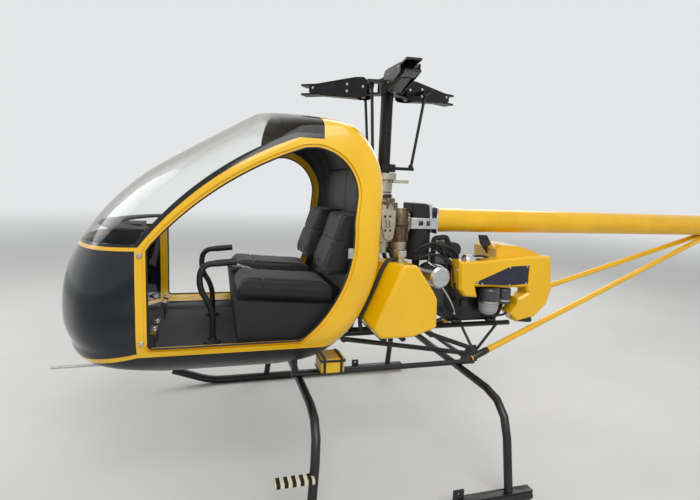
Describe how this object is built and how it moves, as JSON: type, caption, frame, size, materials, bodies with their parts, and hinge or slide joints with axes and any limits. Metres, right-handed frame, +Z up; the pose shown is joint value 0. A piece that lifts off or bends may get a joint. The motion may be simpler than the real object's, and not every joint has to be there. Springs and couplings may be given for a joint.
{
  "type": "light two-seat helicopter",
  "caption": "Light side-by-side helicopter on skids with a bubble cabin, open engine bay, tubular tail boom, grip-type rotor head and tail rotor; doors and main blades are off.",
  "frame": {"origin": "middle of the overall length and width, on the floor", "axes": "+X forward to the nose, +Y to the left side, +Z up"},
  "size_m": [6.55, 1.95, 2.406],
  "materials": {
    "paint_yellow": "glossy yellow gelcoat and paint",
    "clear_glazing": "clear acrylic",
    "dark_glazing": "dark tinted acrylic",
    "paint_black": "satin black powder coat",
    "cabin_plastic": "matt black",
    "black_leather": "soft black upholstery",
    "bare_alloy": "cast and machined alloy",
    "rotor_composite": "painted composite"
  },
  "bodies": {
    "airframe": {"cabin_shell": "paint_yellow", "fuel_tank_left": "paint_yellow", "fuel_tank_right": "paint_yellow", "cooling_shroud": "paint_yellow", "tail_boom": "paint_yellow", "boom_strut_left": "paint_yellow", "boom_strut_right": "paint_yellow", "tail_fins": "paint_yellow", "stabiliser": "paint_yellow", "battery_box": "paint_yellow", "windshield": "clear_glazing", "chin_window": "dark_glazing", "belly_pan": "paint_black", "front_cross_tube": "paint_black", "rear_cross_tube": "paint_black", "skid_left": "paint_black", "skid_right": "paint_black", "main_frame": "paint_black", "mast_frame": "paint_black", "control_sticks": "paint_black", "belt_drive": "paint_black", "tail_guard": "paint_black", "cabin_floor": "cabin_plastic", "seat_base": "cabin_plastic", "instrument_panel": "cabin_plastic", "air_intake": "cabin_plastic", "seat_cushion_left": "black_leather", "seat_cushion_right": "black_leather", "seat_back_left": "black_leather", "seat_back_right": "black_leather", "rear_bulkhead": "black_leather", "gearbox": "bare_alloy", "engine_block": "bare_alloy", "tank_fittings": "bare_alloy", "pedals": "bare_alloy", "collective_levers": "bare_alloy", "exhaust_canister": "bare_alloy", "swashplate_base": "bare_alloy", "boom_carrier": "bare_alloy", "tail_gearbox": "bare_alloy", "cabin_steps": "bare_alloy", "engine_cylinders": "bare_alloy", "pitot_tube": "bare_alloy"},
    "main_rotor": {"mast": "paint_black", "rotor_head": "paint_black", "blade_grips": "paint_black", "pitch_rods": "paint_black", "swashplate_ring": "paint_black"},
    "tail_rotor": {"tail_rotor": "rotor_composite"}
  },
  "joints": [
    {"name": "main_rotor_spin", "type": "hinge", "parent": "airframe", "child": "main_rotor", "pos_m": [1.285, 0, 2.34], "axis": [0, 0, 1], "continuous": true},
    {"name": "tail_rotor_spin", "type": "hinge", "parent": "airframe", "child": "tail_rotor", "pos_m": [-2.935, 0.21, 1.488], "axis": [0, 1, 0], "continuous": true}
  ],
  "couplings": [
    {"joint": "tail_rotor_spin", "follows": "main_rotor_spin", "ratio": 5}
  ]
}
